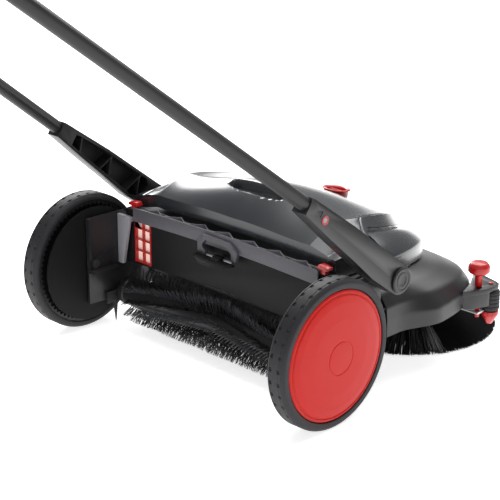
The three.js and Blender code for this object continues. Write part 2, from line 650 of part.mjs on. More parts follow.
function crownPinion() {
  const { y, z } = BELT_OUTPUT_AXIS;
  const teeth = toothOutline(PINION_TEETH, CROWN_PINION.root, CROWN_PINION.tip, 2.6, 0.9, Math.PI / 2);
  const first = SIDE_BRUSH.x + CROWN.inner + 0.5;
  return join(
    plateYZ(shifted(teeth, y, z), first, first + 4),
    turnedX(rodProfile(4, first - 3, PULLEY_X + 1), 12, y, z),
    pulley(y, z));
}

function beltInputGear() {
  const { y, z } = BELT_INPUT_AXIS;
  return join(
    plateYZ(pinionOutline(BELT_INPUT_AXIS, BELT_INPUT_ANGLE), 271, 281),
    turnedX(rodProfile(8, PULLEY_X + 6, 272), 16, y, z),
    pulley(y, z));
}

// An endless round belt as a flat loop: two half circles and two straight runs.
function driveBelt() {
  const a = BELT_INPUT_AXIS;
  const b = BELT_OUTPUT_AXIS;
  const slope = Math.atan2(b.z - a.z, b.y - a.y);
  const loop = (radius) => [
    ...circle(a.y, a.z, radius, 16, slope + Math.PI / 2).slice(0, 9),
    ...circle(b.y, b.z, radius, 16, slope - Math.PI / 2).slice(0, 9)];
  return plateYZ(loop(16.6), PULLEY_X + 2, PULLEY_X + 5, [loop(14.3)]);
}

// Bracket below the front housing: it carries the crown gear's bush and the pinion shaft's bush.
function driveBracket() {
  const { x, y } = SIDE_BRUSH;
  const { y: py, z: pz } = BELT_OUTPUT_AXIS;
  const top = plateXY([[x - 40, y - 20], [160, y - 20], [160, y + 15], [x - 40, y + 15]], 124, 128, [circle(x, y, 7.4, 20)]);
  const cheek = plateYZ([[py - 15, pz - 10], [py + 15, pz - 10], [py + 15, 126], [py - 15, 126]], 152, 157, [
    circle(py, pz, 4.4, 12)]);
  return join(top, cheek);
}

add('crown_gear', crownGear(), GREY);
add('crown_pinion', crownPinion(), GREY);
add('belt_input_gear', beltInputGear(), GREY);
add('drive_belt', driveBelt(), RUBBER);
add('drive_bracket', driveBracket(), HOUSING);

// ---------------------------------------------------------------- handle
const ARM = { inner: 264, outer: 292, skin: 4, wall: 3.5 };
const TUBE_OFFSET = 6.2;          // the tube's axis passes this far above the pivot
const TUBE_START = 243;           // distance of the tube's lower end from the pivot
const TUBE_X = (y) => 284.5 + 0.108 * y;

// Side-view point at a distance along the handle from the pivot and a distance above that line.
function alongHandle(along, above) {
  const c = Math.cos(HANDLE_RISE);
  const s = Math.sin(HANDLE_RISE);
  return [PIVOT.y - along * c + above * s, PIVOT.z + along * s + above * c];
}

const armShape = (points) => points.map(([along, above]) => alongHandle(along, above));

function tubePoint(along) {
  const [y, z] = alongHandle(along, TUBE_OFFSET);
  return new THREE.Vector3(TUBE_X(y), y, z);
}

// A route through a list of points that keeps their uneven spacing.
class Route extends THREE.Curve {
  constructor(points) {
    super();
    this.points = points;
  }
  getPoint(t) {
    const at = t * (this.points.length - 1);
    const i = Math.min(Math.floor(at), this.points.length - 2);
    return this.points[i].clone().lerp(this.points[i + 1], at - i);
  }
  getPointAt(t) {
    return this.getPoint(t);
  }
  getTangentAt(t) {
    const e = 0.5 / (this.points.length - 1);
    return this.getPoint(Math.min(t + e, 1)).sub(this.getPoint(Math.max(t - e, 0))).normalize();
  }
}

function tubeAlong(points, radius, sides, holes = []) {
  return new THREE.ExtrudeGeometry(outline(circle(0, 0, radius, sides), holes), {
    steps: points.length - 1, bevelEnabled: false, extrudePath: new Route(points) });
}

function handleRoute() {
  const bend = 62;
  const corner = tubePoint(HANDLE_LENGTH);
  const before = corner.clone().lerp(tubePoint(0), bend / HANDLE_LENGTH);
  const after = corner.clone().setX(corner.x - bend);
  const curve = new THREE.QuadraticBezierCurve3(before, corner, after);
  const right = [tubePoint(TUBE_START), tubePoint(HANDLE_LENGTH * 0.6), ...curve.getPoints(6)];
  const left = right.map((p) => new THREE.Vector3(-p.x, p.y, p.z)).reverse();
  return [...right, ...left];
}

function handleArm() {
  const steps = 10;
  const end = Array.from({ length: steps + 1 }, (_, i) => {
    const a = Math.PI / 2 + i * Math.PI / steps;
    return [24 * Math.cos(a), 24 * Math.sin(a)];
  });
  const edge = armShape([[274, -9], [274, 18], [160, 23], [50, 24], ...end, [66, -26], [122, -21], [199, -16]]);
  const pocket = armShape([[240, -7], [240, 13], [160, 18], [50, 19], [38, 10], [38, -12], [66, -21], [122, -16], [199, -11]]);
  const ribs = [45, 85, 125, 165, 205].map((along, i) => {
    const lean = i % 2 === 0 ? 26 : -26;
    return plateYZ(armShape([
      [along - 1.5, -30], [along + 1.5, -30], [along + lean + 1.5, 28], [along + lean - 1.5, 28]]), 266, 290);
  });
  const whole = plateYZ(edge, ARM.inner, ARM.outer);
  const hollow = plateYZ(pocket, ARM.inner - 1, ARM.outer - ARM.skin);
  const web = ribs.map((rib) => common(rib, hollow));
  const boss = turnedX(rodProfile(14, 257.5, ARM.inner + 1), 24, PIVOT.y, PIVOT.z);
  const bore = turnedX(rodProfile(8.4, 250, ARM.outer + 1), 16, PIVOT.y, PIVOT.z);
  const start = tubePoint(TUBE_START - 2);
  const socket = tubeAlong([start, tubePoint(320)], TUBE_RADIUS + GAP, 16);
  return cut(join(cut(whole, hollow), ...web, boss), bore, socket);
}

add('handle_arm_right', handleArm(), HOUSING);
add('handle_arm_left', mirrorX(handleArm()), HOUSING);
const tubeBore = circle(0, 0, TUBE_RADIUS - TUBE_WALL, 10);
add('handle_tube', tubeAlong(handleRoute(), TUBE_RADIUS, 10, [tubeBore]), DARK_METAL);
const gripCentre = tubePoint(HANDLE_LENGTH);
add('grip', turnedX([
  [11.9, -120], [15, -120], [16.5, -112], [16.5, 112], [15, 120], [11.9, 120], [11.9, -120]],
  16, gripCentre.y, gripCentre.z), RUBBER);

function pivotBolt() {
  return turnedX([
    [0, 243], [12, 243], [12, 249.6], [8, 249.6], [8, ARM.outer + 0.4], [21.5, ARM.outer + 0.4],
    [21.5, ARM.outer + 3], [19, ARM.outer + 4.5], [0, ARM.outer + 4.5]], 16, PIVOT.y, PIVOT.z);
}

add('pivot_bolt_right', pivotBolt(), HOUSING);
add('pivot_bolt_left', mirrorX(pivotBolt()), HOUSING);

// The origin goes on the floor below the middle of the whole machine.
const whole = new THREE.Box3().setFromObject(model);
model.position.set(0, -Math.round(whole.min.y + whole.max.y) / 2, 0);
model.updateMatrixWorld(true);

export default model;
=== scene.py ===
# %% [markdown]
# Manual push sweeper.
# The machine is a plastic housing on two big wheels, with a roller brush between them, one side brush at
# the front right corner, and a U handle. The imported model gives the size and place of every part, so
# this lesson only adds what a render needs: fine surfaces, bristles, and finishes made from nodes.

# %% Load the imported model
import math
import bmesh
import bpy
import numpy as np
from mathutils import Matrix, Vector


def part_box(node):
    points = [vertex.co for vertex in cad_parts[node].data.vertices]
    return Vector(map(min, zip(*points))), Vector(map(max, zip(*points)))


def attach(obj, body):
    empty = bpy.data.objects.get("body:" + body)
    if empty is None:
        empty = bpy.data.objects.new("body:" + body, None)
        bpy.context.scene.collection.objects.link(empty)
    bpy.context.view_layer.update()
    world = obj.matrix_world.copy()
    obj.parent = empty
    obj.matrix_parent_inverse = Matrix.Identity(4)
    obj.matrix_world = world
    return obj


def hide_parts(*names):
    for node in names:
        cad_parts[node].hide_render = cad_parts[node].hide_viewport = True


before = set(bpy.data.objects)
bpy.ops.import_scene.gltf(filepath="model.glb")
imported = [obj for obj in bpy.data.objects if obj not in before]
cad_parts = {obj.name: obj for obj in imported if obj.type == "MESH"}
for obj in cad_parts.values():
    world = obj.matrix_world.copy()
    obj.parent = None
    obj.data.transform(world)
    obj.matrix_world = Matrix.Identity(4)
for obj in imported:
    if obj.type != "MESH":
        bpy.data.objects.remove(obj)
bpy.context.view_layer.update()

# %% [markdown]
# All shapes below are worked out in millimetres from a point on the floor under the wheel axle, with x to
# the machine's right, y forward and z up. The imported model's origin lies under the middle of the whole
# machine, so one shift along y carries a shape there. It is read from the right tyre's box.

# %% Place and size of the working frame
tyre_low, tyre_high = [np.array(c) * 1000 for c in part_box("tyre_right")]
AXLE_Y = (tyre_low[1] + tyre_high[1]) / 2
WHEEL_R = (tyre_high[2] - tyre_low[2]) / 2
WHEEL_OUT = tyre_high[0]
WHEEL_IN = tyre_low[0]
core_low, core_high = [np.array(c) * 1000 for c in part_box("roller_core")]
ROLLER_Y = (core_low[1] + core_high[1]) / 2 - AXLE_Y
ROLLER_Z = (core_low[2] + core_high[2]) / 2
disc_low, disc_high = [np.array(c) * 1000 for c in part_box("side_brush_disc")]
BRUSH_X = (disc_low[0] + disc_high[0]) / 2
BRUSH_Y = (disc_low[1] + disc_high[1]) / 2 - AXLE_Y
rng = np.random.default_rng(7)
print("axle at y", round(AXLE_Y, 2), "mm, roller axis", round(ROLLER_Y, 1), round(ROLLER_Z, 1))

# %% [markdown]
# The camera stands behind the machine on its right and looks forwards and a little down. A long lens
# keeps the parallels nearly parallel, as in a catalogue picture.

# %% Camera
camera_data = bpy.data.cameras.new("camera")
camera_data.lens = 118.1
camera_data.sensor_width = 36.0
camera = bpy.data.objects.new("camera", camera_data)
camera.location = (1.7856, -1.7004 + AXLE_Y / 1000, 1.1376)
camera.rotation_euler = (math.radians(69.4), 0.0, math.radians(44.4))
bpy.context.scene.collection.objects.link(camera)
bpy.context.scene.camera = camera

# %% [markdown]
# Materials are written as arithmetic. `Value` wraps a socket, so `0.4 + 0.1 * noise` adds the Math nodes
# it needs. Every other node comes from `Shader.node`, which sets the node's settings first and then its
# sockets. That keeps each finish down to the few lines that say what it looks like.

# %% A socket that can be used in sums
class Value:
    def __init__(self, shader, socket):
        self.shader = shader
        self.socket = socket

    def _math(self, operation, *others):
        return self.shader.node("ShaderNodeMath", {"operation": operation}, [self, *others])

    def __add__(self, other):
        return self._math("ADD", other)

    def __sub__(self, other):
        return self._math("SUBTRACT", other)

    def __mul__(self, other):
        return self._math("MULTIPLY", other)

    def __rsub__(self, other):
        return self.shader.node("ShaderNodeMath", {"operation": "SUBTRACT"}, [other, self])

    __radd__ = __add__
    __rmul__ = __mul__

    def clamped(self, low, high):
        return self._math("MAXIMUM", low)._math("MINIMUM", high)

    def step(self, low, high):
        settings = {"interpolation_type": "SMOOTHSTEP", "clamp": True}
        return self.shader.node("ShaderNodeMapRange", settings, [self, low, high, 0.0, 1.0])


# %% A material and its nodes
class Shader:
    def __init__(self, name):
        self.material = bpy.data.materials.new(name)
        self.material.use_nodes = True
        self.tree = self.material.node_tree
        self.bsdf = self.tree.nodes["Principled BSDF"]
        self.place = self.node("ShaderNodeTexCoord", {}, [], "Object")

    def node(self, kind, settings, inputs, output=0):
        made = self.tree.nodes.new(kind)
        for key, value in settings.items():
            if key == "stops":
                first, last = made.color_ramp.elements[0], made.color_ramp.elements[1]
                first.position, first.color = value[0]
                last.position, last.color = value[-1]
            else:
                setattr(made, key, value)
        pairs = inputs.items() if isinstance(inputs, dict) else enumerate(inputs)
        for key, value in pairs:
            self.feed(made.inputs[key], value)
        return Value(self, made.outputs[output])

    def feed(self, socket, value):
        if isinstance(value, Value):
            self.tree.links.new(value.socket, socket)
        else:
            socket.default_value = value

    def parts(self):
        made = self.node("ShaderNodeSeparateXYZ", {}, [self.place]).socket.node
        return [Value(self, output) for output in made.outputs]

    def noise(self, scale, detail=3.0, roughness=0.5, stretch=(1, 1, 1)):
        vector = self.place
        if stretch != (1, 1, 1):
            vector = self.node("ShaderNodeMapping", {}, {"Vector": self.place, "Scale": stretch})
        inputs = {"Vector": vector, "Scale": scale, "Detail": detail, "Roughness": roughness}
        return self.node("ShaderNodeTexNoise", {}, inputs, "Fac")

    def mix(self, share, first, second):
        inputs = {0: share, 6: (*first, 1) if isinstance(first, tuple) else first,
                  7: (*second, 1) if isinstance(second, tuple) else second}
        return self.node("ShaderNodeMix", {"data_type": "RGBA"}, inputs, 2)

    def bump(self, height, strength, distance=0.0004):
        inputs = {"Strength": strength, "Distance": distance, "Height": height}
        return self.node("ShaderNodeBump", {}, inputs, "Normal")

    def set(self, **sockets):
        for name, value in sockets.items():
            self.feed(self.bsdf.inputs[name.replace("_", " ")], value)
        return self.material


def linear(red, green, blue):
    """Screen colour from 0 to 255 turned into the linear light that a shader wants."""
    share = np.array([red, green, blue]) / 255
    light = np.where(share <= 0.04045, share / 12.92, ((share + 0.055) / 1.055) ** 2.4)
    return tuple(float(v) for v in light)


# %% [markdown]
# Most of the sweeper is injection-moulded plastic. Real mouldings have a fine spark-eroded grain, a
# slightly uneven gloss where the melt cooled, and pale dust in the grain. One maker covers them all:
# the grain is a fine noise in the bump, and two slower noises move the colour and the roughness. The
# crossbar has its own maker, because it is one moulding shown in two greys: its lattice bars, in front
# of its wall, get a lighter grey as painted light on the ribs, and the wall a darker grey as painted shade.

# %% Moulded plastic
def moulded(name, colour, pale, rough, spread=0.08, grain=900.0, relief=0.35, coat=0.0, specular=0.5):
    s = Shader(name)
    cloud = s.noise(14.0, 4.0)
    fine = s.noise(grain, 2.0)
    dust = s.noise(160.0, 5.0, 0.65)
    tint = (cloud * 0.7 + dust * 0.5 - 0.1).clamped(0.0, 1.0)
    return s.set(Base_Color=s.mix(tint, colour, pale), Roughness=rough + spread * (dust - 0.5) + 0.06 * cloud,
                 Normal=s.bump(fine, relief, 0.00012), Coat_Weight=coat, Coat_Roughness=0.12,
                 Specular_IOR_Level=specular)


def crossbar_plastic():
    s = Shader("crossbar_plastic")
    _, y, _ = s.parts()
    wall_face = (57.4 + AXLE_Y) / 1000
    # one moulding in two greys: the wall face is painted shade and the lighter lattice bars are painted light
    # on the ribs
    lit_bar_share = ((y - wall_face) * 3000.0).clamped(0.0, 1.0)
    grain = s.noise(160.0, 4.0, 0.6)
    face = s.mix(grain, linear(80, 78, 84), linear(96, 94, 100))
    lit_bar_grey = s.mix(grain, linear(138, 138, 144), linear(156, 156, 162))
    return s.set(Base_Color=s.mix(lit_bar_share, face, lit_bar_grey), Roughness=0.44 + 0.1 * grain,
                 Normal=s.bump(s.noise(900.0, 2.0), 0.35, 0.00012))


HOUSING = moulded("housing_plastic", linear(26, 26, 28), linear(37, 37, 40), 0.35)
# near-black plastic for the rims, shields, lever and tunnel; on the bay wall and the cover deck the
# near-black is painted shade where they sit in shadow
DARK_AND_PAINTED_SHADE = moulded("dark_plastic_and_painted_shade", linear(10, 10, 11), linear(18, 18, 20), 0.5, specular=0.25)
COVER = moulded("cover_plastic", linear(36, 39, 43), linear(44, 47, 52), 0.22, 0.05, 1200.0, 0.1, 0.4)
GREY = moulded("grey_plastic", linear(150, 149, 154), linear(166, 165, 171), 0.5)
BAR = crossbar_plastic()
RED = moulded("red_plastic", linear(180, 20, 20), linear(192, 28, 28), 0.3, 0.06, 1100.0, 0.15, 0.2)
HUB = moulded("hub_plastic", linear(194, 26, 19), linear(203, 33, 26), 0.42, 0.06, 1000.0, 0.2,
              specular=0.25)
print("plastics made")

# %% [markdown]
# The tyres are a dull dark rubber-like moulding, rougher and bluer than the housing. Steel is brushed, so its
# noise is stretched along one axis. The filter behind the red window is a pale fleece with a soft fuzzy
# relief. It also has a weak glow in its own colour, which is painted light standing in for light shining
# through it from behind.
# Bristles are black nylon, glossy enough to catch a white glint along each hair. The paler tuft nylon is a
# painted glint on some of them.

# %% Rubber, steel, fleece, paint and nylon
def tyre_rubber():
    s = Shader("tyre_rubber")
    dust = s.noise(220.0, 5.0, 0.7)
    cloud = s.noise(18.0, 3.0)
    tint = (dust * 0.8 + cloud * 0.4 - 0.1).clamped(0.0, 1.0)
    return s.set(Base_Color=s.mix(tint, linear(18, 18, 21), linear(37, 37, 42)), Roughness=0.5 + 0.18 * dust,
                 Normal=s.bump(s.noise(700.0, 4.0), 0.4, 0.0002))


def brushed_steel():
    s = Shader("brushed_steel")
    brushed = s.noise(90.0, 3.0, 0.6, (1, 1, 14))
    return s.set(Base_Color=s.mix(brushed, (0.42, 0.43, 0.45), (0.6, 0.61, 0.63)), Metallic=1.0,
                 Roughness=0.24 + 0.16 * brushed, Normal=s.bump(brushed, 0.1))


def filter_fleece():
    s = Shader("filter_fleece")
    fuzz = s.noise(420.0, 6.0, 0.7)
    cloud = s.noise(60.0, 3.0)
    colour = s.mix(cloud, linear(255, 214, 198), linear(255, 240, 230))
    # the emission is painted light: a glow in the fleece's colour that stands in for light shining through it
    # from behind
    return s.set(Base_Color=colour, Roughness=0.9, Normal=s.bump(fuzz, 0.8, 0.0008), Sheen_Weight=0.3,
                 Emission_Color=colour, Emission_Strength=0.3)


def painted_tube():
    s = Shader("painted_tube")
    peel = s.noise(260.0, 2.0)
    cloud = s.noise(20.0, 3.0)
    return s.set(Base_Color=s.mix(cloud, linear(20, 20, 21), linear(31, 31, 32)),
        Roughness=0.36 + 0.1 * cloud,
                 Normal=s.bump(peel, 0.15, 0.0002), Metallic=0.0)


def nylon(name, root, tip, rough):
    s = Shader(name)
    split = s.noise(900.0, 2.0)
    return s.set(Base_Color=s.mix(split, root, tip), Roughness=rough + 0.15 * split, Specular_IOR_Level=0.6)


TYRE = tyre_rubber()
STEEL = brushed_steel()
FLEECE_WITH_PAINTED_BACKLIGHT = filter_fleece()
TUBE = painted_tube()
RUBBER = moulded("soft_rubber", linear(26, 26, 28), linear(36, 36, 38), 0.62, 0.1, 600.0, 0.5)
NYLON = nylon("black_nylon", linear(15, 14, 15), linear(34, 33, 34), 0.3)
# paler grey nylon: a painted glint for the lit rows of the black roller hairs
TUFT_PAINTED_GLINT = nylon("tuft_nylon_painted_glint", linear(50, 51, 54), linear(104, 106, 110), 0.25)
print("rubber, steel, fleece, paint and nylon made")

# %% [markdown]
# New surfaces come from arrays. A piece is an array of points and an array of faces: `put` moves the
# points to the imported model's frame, welds what meets, turns the faces outwards, and says which CAD
# parts the piece stands for and which body it moves with.

# %% Turning arrays into pieces
def put(name, points, faces, material, body, stands_for=(), weld=True, flat=30.0):
    points = (np.asarray(points, float).reshape(-1, 3) + [0, AXLE_Y, 0]) / 1000
    mesh = bpy.data.meshes.new(name)
    mesh.from_pydata(points.tolist(), [], [list(f) for f in faces])
    if weld:
        work = bmesh.new()
        work.from_mesh(mesh)
        bmesh.ops.remove_doubles(work, verts=work.verts, dist=2e-6)
        bmesh.ops.recalc_face_normals(work, faces=work.faces)
        work.to_mesh(mesh)
        work.free()
    mesh.validate()
    mesh.materials.append(material)
    mesh.polygons.foreach_set("use_smooth", np.ones(len(mesh.polygons), bool))
    mesh.set_sharp_from_angle(angle=math.radians(flat))
    piece = bpy.data.objects.new(name, mesh)
    bpy.context.scene.collection.objects.link(piece)
    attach(piece, body)
    if stands_for:
        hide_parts(*([stands_for] if isinstance(stands_for, str) else stands_for))
    return piece


def grid_faces(rows, columns, wrap_rows=False, wrap_columns=False, start=0):
    """Four-cornered faces between neighbours of a rows x columns grid, closed up where it wraps."""
    r = np.arange(rows if wrap_rows else rows - 1)
    c = np.arange(columns if wrap_columns else columns - 1)
    r, c = np.meshgrid(r, c, indexing="ij")
    r2, c2 = (r + 1) % rows, (c + 1) % columns
    quads = np.stack([r * columns + c, r * columns + c2, r2 * columns + c2, r2 * columns + c], -1)
    return quads.reshape(-1, 4) + start


def softened(profile, radius, steps=4):
    """A profile whose inner corners are cut back by radius and joined by the curve
    (1-t)^2 a + 2t(1-t) corner + t^2 b. The two ends stay where they are."""
    p = np.array(profile, float)
    before, corner, after = p[:-2], p[1:-1], p[2:]
    back = before - corner
    ahead = after - corner
    lengths = np.linalg.norm(back, axis=1), np.linalg.norm(ahead, axis=1)
    reach = np.minimum(radius, 0.45 * np.minimum(*lengths))[:, None]
    a = corner + back / lengths[0][:, None] * reach
    b = corner + ahead / lengths[1][:, None] * reach
    t = np.linspace(0, 1, steps)[None, :, None]
    curve = (1 - t) ** 2 * a[:, None] + 2 * t * (1 - t) * corner[:, None] + t ** 2 * b[:, None]
    return np.vstack([p[:1], curve.reshape(-1, 2), p[-1:]])


def turned(profile, around, centre, axis="x", flip=1.0):
    """Points of a surface of revolution: the profile's [radius, distance] at `around` equal angles.
    x: (d, y + r cos a, z + r sin a). z: (x + r cos a, y + r sin a, d)."""
    p = np.asarray(profile, float)
    a = np.arange(around) * 2 * np.pi / around
    r, d = p[:, 0][:, None], p[:, 1][:, None] * np.ones(around)
    c, s = r * np.cos(a), r * np.sin(a)
    if axis == "x":
        points = np.stack([flip * d, centre[0] + c, centre[1] + s], -1)
    else:
        points = np.stack([centre[0] + c, centre[1] + s, d], -1)
    return points, grid_faces(len(p), around, False, True)


print("mesh helpers ready")

# %% [markdown]
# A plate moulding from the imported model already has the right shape, but its edges are razor sharp and
# real mouldings never are. A merged copy gets a small bevel, which catches the light along each edge.

# %% Soft-edged copies of flat mouldings
def soft_copy(node, material, body, width=0.8, angle=28.0):
    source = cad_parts[node]
    mesh = source.data.copy()
    mesh.name = node + "_soft"
    work = bmesh.new()
    work.from_mesh(mesh)
    bmesh.ops.remove_doubles(work, verts=work.verts, dist=2e-6)
    bmesh.ops.dissolve_limit(work, angle_limit=math.radians(1.0), verts=work.verts, edges=work.edges)
    work.to_mesh(mesh)
    work.free()
    mesh.materials.clear()
    mesh.materials.append(material)
    mesh.polygons.foreach_set("use_smooth", np.ones(len(mesh.polygons), bool))
    piece = bpy.data.objects.new(node + "_soft", mesh)
    bpy.context.scene.collection.objects.link(piece)
    bevel = piece.modifiers.new("edges", "BEVEL")
    bevel.width = width / 1000
    bevel.segments = 2
    bevel.limit_method = "ANGLE"
    bevel.angle_limit = math.radians(angle)
    bevel.harden_normals = True
    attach(piece, body)
    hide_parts(node)
    return piece


SOFT = [
    ("side_frame_left", HOUSING, "chassis", "housing", 0.7),
    ("side_frame_right", HOUSING, "chassis", "housing", 0.7),
    ("hopper_stop_left", GREY, "chassis", "grey", 0.8), ("hopper_stop_right", GREY, "chassis", "grey", 0.8),
    # the bay wall takes the near-black material as painted shade
    ("filter_frame", RED, "chassis", "red", 0.4), ("bay_wall", DARK_AND_PAINTED_SHADE, "chassis", "housing", 0.6),
    ("corner_bracket", HOUSING, "chassis", "housing", 1.6),
    ("cover_latch_left", RED, "latch_left", "red", 0.9),
    ("cover_latch_right", RED, "latch_right", "red", 0.9),
    ("hopper_lever", DARK_AND_PAINTED_SHADE, "release_lever", "housing", 0.7),
    ("handle_arm_left", HOUSING, "handle", "housing", 1.2),
    ("handle_arm_right", HOUSING, "handle", "housing", 1.2),
    ("side_lip_left", RUBBER, "chassis", "rubber", 0.5), ("side_lip_right", RUBBER, "chassis", "rubber", 0.5),
    ("front_lip", RUBBER, "chassis", "rubber", 0.5), ("lift_plate", STEEL, "brush_lift", "steel", 0.5),
    ("adjuster_knob", RED, "adjuster", "red", 0.7), ("guide_roller_bolt", RED, "chassis", "red", 0.6),
    ("rear_crossbar", BAR, "chassis", "grey", 0.5), ("crown_gear", GREY, "crown", "grey", 0.3),
    ("drive_bracket", HOUSING, "chassis", "housing", 0.6)]
for node, material, body, slot, width in SOFT:
    soft_copy(node, material, body, width)
print(len(SOFT), "soft-edged copies")

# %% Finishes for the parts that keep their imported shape
KEPT = {
    "rim_left": DARK_AND_PAINTED_SHADE, "rim_right": DARK_AND_PAINTED_SHADE, "ring_gear_left": HOUSING, "ring_gear_right": HOUSING,
    "wheel_bush_left": GREY, "wheel_bush_right": GREY, "stub_axle_left": STEEL, "stub_axle_right": STEEL,
    "roller_bearing_left": GREY, "roller_bearing_right": GREY, "drive_pinion_left": GREY,
    "drive_pinion_right": GREY, "lever_pin": STEEL, "roller_tunnel": DARK_AND_PAINTED_SHADE, "belt_input_gear": GREY,
    "crown_pinion": GREY, "drive_belt": RUBBER, "filter_fleece": FLEECE_WITH_PAINTED_BACKLIGHT, "gear_shield_right": DARK_AND_PAINTED_SHADE,
    # the cover deck is near-black as painted shade in the gap under the cover
    "gear_shield_left": DARK_AND_PAINTED_SHADE, "cover_deck": DARK_AND_PAINTED_SHADE}
for node, material in KEPT.items():
    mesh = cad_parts[node].data
    mesh.materials.clear()
    mesh.materials.append(material)
print(len(KEPT), "parts keep their shape")

# %% [markdown]
# The wheels are the largest round things in view, so they get smooth lathe surfaces. The tyre's tread is
# plain except for two rows of small square notches near its shoulders: the surface dips where both the
# angle and the distance along the axle fall inside a notch. The hub is one shallow red dome with a
# groove near its edge and a flat disc ring in its middle.

# %% Wheels
def wheel(side):
    word = "right" if side > 0 else "left"
    seat = 111.0
    shape = softened([
        [seat, WHEEL_IN], [109.5, WHEEL_IN + 0.4], [109.5, WHEEL_IN], [115, WHEEL_IN],
        [WHEEL_R, WHEEL_IN + 5],
        [WHEEL_R, WHEEL_OUT - 5], [115, WHEEL_OUT], [106, WHEEL_OUT], [105.3, WHEEL_OUT - 3.5],
        [seat, WHEEL_OUT - 3.5]], 2.4, 5)
    tread = np.linspace(WHEEL_IN + 6.2, WHEEL_OUT - 6.2, 46)
    first = shape[(shape[:, 1] < WHEEL_IN + 6) & (np.arange(len(shape)) < len(shape) // 2)]
    last = shape[(shape[:, 1] > WHEEL_OUT - 6) & (np.arange(len(shape)) >= len(shape) // 2)]
    profile = np.vstack([first, np.stack([np.full(46, WHEEL_R), tread], -1), last])
    around = 432
    points, faces = turned(profile, around, (0, WHEEL_R), "x", side)
    angle = np.arange(around) * 2 * np.pi / around
    d = profile[:, 1][:, None]
    turn = np.abs((angle * 36 / (2 * np.pi)) % 1.0 - 0.5)[None, :]
    inside = (np.clip((0.17 - turn) / 0.03, 0, 1) * (
        np.clip((2.6 - np.abs(d - WHEEL_IN - 9.5)) / 0.6, 0, 1)
        + np.clip((2.6 - np.abs(d - WHEEL_OUT + 9.5)) / 0.6, 0, 1)))
    groove = np.clip(1.6 - np.abs(d - (WHEEL_IN + WHEEL_OUT) / 2 - 9), 0, 1) * 0.5
    groove = groove + np.clip(1.6 - np.abs(d - (WHEEL_IN + WHEEL_OUT) / 2 + 9), 0, 1) * 0.5
    on_tread = (profile[:, 0] > WHEEL_R - 0.5)[:, None]
    dip = np.where(on_tread, 1.8 * inside + groove, 0.0)
    radial = points[..., 1:] - [0, WHEEL_R]
    points[..., 1:] -= radial / np.linalg.norm(radial, axis=-1, keepdims=True) * dip[..., None]
    rows = len(profile)
    closing = grid_faces(2, around, False, True)
    closing = np.where(closing >= around, closing - around, closing + (rows - 1) * around)
    faces = np.vstack([faces[: (rows - 1) * around], closing])
    put(f"tyre_tread_{word}", points, faces, TYRE, f"wheel_{word}", f"tyre_{word}")

    hub = softened([
        [0, 294], [101, 294], [101, 300.4], [104.5, 300.4], [104.5, 302.6], [100.5, 304.4], [99.3, 303.0],
        [97.6, 303.2],
        [96.4, 305.2], [85, 307.6], [60, 310.4], [28.2, 311.9], [27.2, 311.2], [26.0, 311.2], [25.0, 312.1],
        [0, 312.4]],
        1.2, 4)
    points, faces = turned(hub, 180, (0, WHEEL_R), "x", side)
    put(f"hub_dome_{word}", points, faces, HUB, f"wheel_{word}", f"hub_cap_{word}")
    print("wheel", word, "has", len(faces), "hub faces")


wheel(-1)
wheel(1)

# %% [markdown]
# The roller brush is a black core with rows of tufts that run in a wide V. Each tuft is a small fan of
# hairs, and each hair is a tapered three-sided prism that bends back a little. All hairs are worked out at
# once: a root point, a tip point and a bend, then rings of three corners along each one. Every other row
# is made in a paler grey nylon, a painted glint that stands in for light along the black hairs.

# %% Hairs
def hairs(root, tip, bend, thick, rings=3, taper=0.45):
    """Three-sided prisms along root + t (tip - root) + 4 t (1 - t) bend, for t in equal steps.
    Corners stand off the path along two directions square to it."""
    t = np.linspace(0, 1, rings)[None, :, None]
    path = root[:, None] + t * (tip - root)[:, None] + 4 * t * (1 - t) * bend[:, None]
    along = tip - root
    along = along / np.linalg.norm(along, axis=1, keepdims=True)
    helper = np.where(np.abs(along[:, :1]) < 0.8, [[1.0, 0, 0]], [[0, 1.0, 0]])
    side = np.cross(along, helper)
    side = side / np.linalg.norm(side, axis=1, keepdims=True)
    other = np.cross(along, side)
    angles = np.arange(3) * 2 * np.pi / 3
    ring = side[:, None] * np.cos(angles)[None, :, None] + other[:, None] * np.sin(angles)[None, :, None]
    width = thick * (1 - taper * np.linspace(0, 1, rings))
    points = path[:, :, None] + ring[:, None] * width[None, :, None, None]
    count = len(root)
    sides = grid_faces(rings, 3, False, True)
    offset = (np.arange(count) * rings * 3)[:, None, None]
    quads = (sides[None] + offset).reshape(-1, 4).tolist()
    ends = np.arange(count)[:, None] * rings * 3
    caps = np.vstack([ends + [2, 1, 0], ends + (rings - 1) * 3 + [0, 1, 2]]).tolist()
    return points.reshape(-1, 3), quads + caps


def roller_tufts(first):
    radius, base, half = 50.6, 26.0, 211.0
    rows, per_row, fan = 12, 62, 7
    row, at, _ = np.meshgrid(np.arange(first, rows, 2), np.arange(per_row), np.arange(fan), indexing="ij")
    row, at = row.ravel(), at.ravel()
    x = -half + (at + 0.5) * 2 * half / per_row
    twist = 1.1 * np.abs(x) / half + row * 2 * np.pi / rows
    angle = twist + rng.normal(0, 0.012, len(x))
    spread = rng.normal(0, 0.065, len(x))
    lean = rng.normal(0, 2.4, len(x))
    reach = radius - np.abs(rng.normal(0, 1.2, len(x)))
    root = np.stack([x, ROLLER_Y + base * np.cos(angle), ROLLER_Z + base * np.sin(angle)], -1)
    tip = np.stack([x + lean, ROLLER_Y + reach * np.cos(angle + spread),
        ROLLER_Z + reach * np.sin(angle + spread)], -1)
    bend = np.stack([lean * 0.1, -np.sin(angle), np.cos(angle)], -1) * rng.normal(0.8, 0.5, (len(x), 1))
    points, faces = hairs(root, tip, bend, 0.62, 3)
    return points, faces


